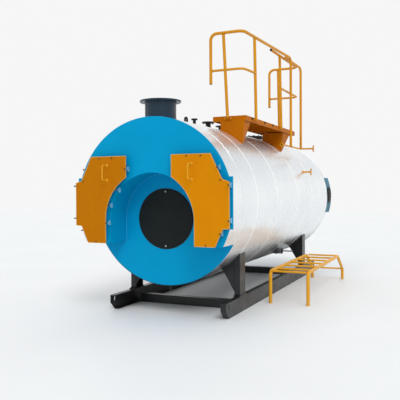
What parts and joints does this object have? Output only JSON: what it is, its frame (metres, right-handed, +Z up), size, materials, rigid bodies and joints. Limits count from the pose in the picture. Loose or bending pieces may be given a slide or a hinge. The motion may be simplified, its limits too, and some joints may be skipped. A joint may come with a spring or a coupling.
{
  "type": "industrial boiler",
  "caption": "Horizontal fire-tube boiler: lagged drum on a channel skid with smokebox doors, flue neck, roof platform with guard rails, and its access ladder laid alongside.",
  "frame": {"origin": "on the floor under the boiler's axis, at the middle of the front skid cross member's underside", "axes": "+Z up, +Y along the boiler from the burner end to the rear, +X to the platform side"},
  "size_m": [2.6068, 5.822, 3.759],
  "materials": {
    "cladding": "bright rolled sheet with a soft sheen",
    "strap": "bright rolled strip",
    "boiler_blue": "gloss paint",
    "door_orange": "gloss paint",
    "platform_orange": "gloss paint",
    "guard_orange": "gloss paint",
    "ladder_yellow": "gloss paint",
    "skid_black": "satin paint",
    "flue_black": "satin paint",
    "fitting_black": "black coated",
    "burner_black": "heat-proof matt paint",
    "pipe_grey": "bare pipe",
    "handle_steel": "bright bar"
  },
  "bodies": {
    "root": {"casing_shell": "cladding", "casing_straps": "strap", "front_plate": "boiler_blue", "burner_plate": "burner_black", "rear_plate": "boiler_blue", "smokebox_face": "boiler_blue", "smokebox_body": "boiler_blue", "smokebox_wrap": "cladding", "door_neck_right": "boiler_blue", "door_neck_left": "boiler_blue", "door_right": "door_orange", "door_left": "door_orange", "door_handle_right": "handle_steel", "door_handle_left": "handle_steel", "flue_neck": "flue_black", "flue_flange": "flue_black", "relief_nozzle": "fitting_black", "steam_nozzle": "fitting_black", "vent_nozzle": "fitting_black", "manhole_ring": "fitting_black", "manhole_cover": "fitting_black", "feed_nozzle": "pipe_grey", "lifting_lugs": "fitting_black", "skid_rail_right": "skid_black", "skid_rail_left": "skid_black", "skid_cross_front": "skid_black", "skid_cross_rear": "skid_black", "leg_front_right": "skid_black", "leg_front_left": "skid_black", "leg_rear_right": "skid_black", "leg_rear_left": "skid_black", "gussets_front": "skid_black", "gussets_rear": "skid_black", "platform_bracket_front": "platform_orange", "platform_bracket_rear": "platform_orange", "platform_frame": "platform_orange", "platform_deck": "platform_orange", "platform_joists": "platform_orange", "guard_rail_front": "guard_orange", "guard_mid_front": "guard_orange", "guard_rail_side": "guard_orange", "guard_rail_rear": "guard_orange", "guard_mid_rear": "guard_orange", "guard_posts": "guard_orange", "standoff_upper": "guard_orange", "standoff_lower": "guard_orange", "standoff_pads": "guard_orange", "ladder_stringer_left": "ladder_yellow", "ladder_stringer_right": "ladder_yellow", "ladder_rungs": "ladder_yellow", "rear_smokebox": "boiler_blue", "rear_port": "fitting_black", "rear_door": "boiler_blue", "blowdown_pipe": "pipe_grey", "belly_drains": "fitting_black", "smokebox_drains": "boiler_blue"}
  },
  "joints": []
}
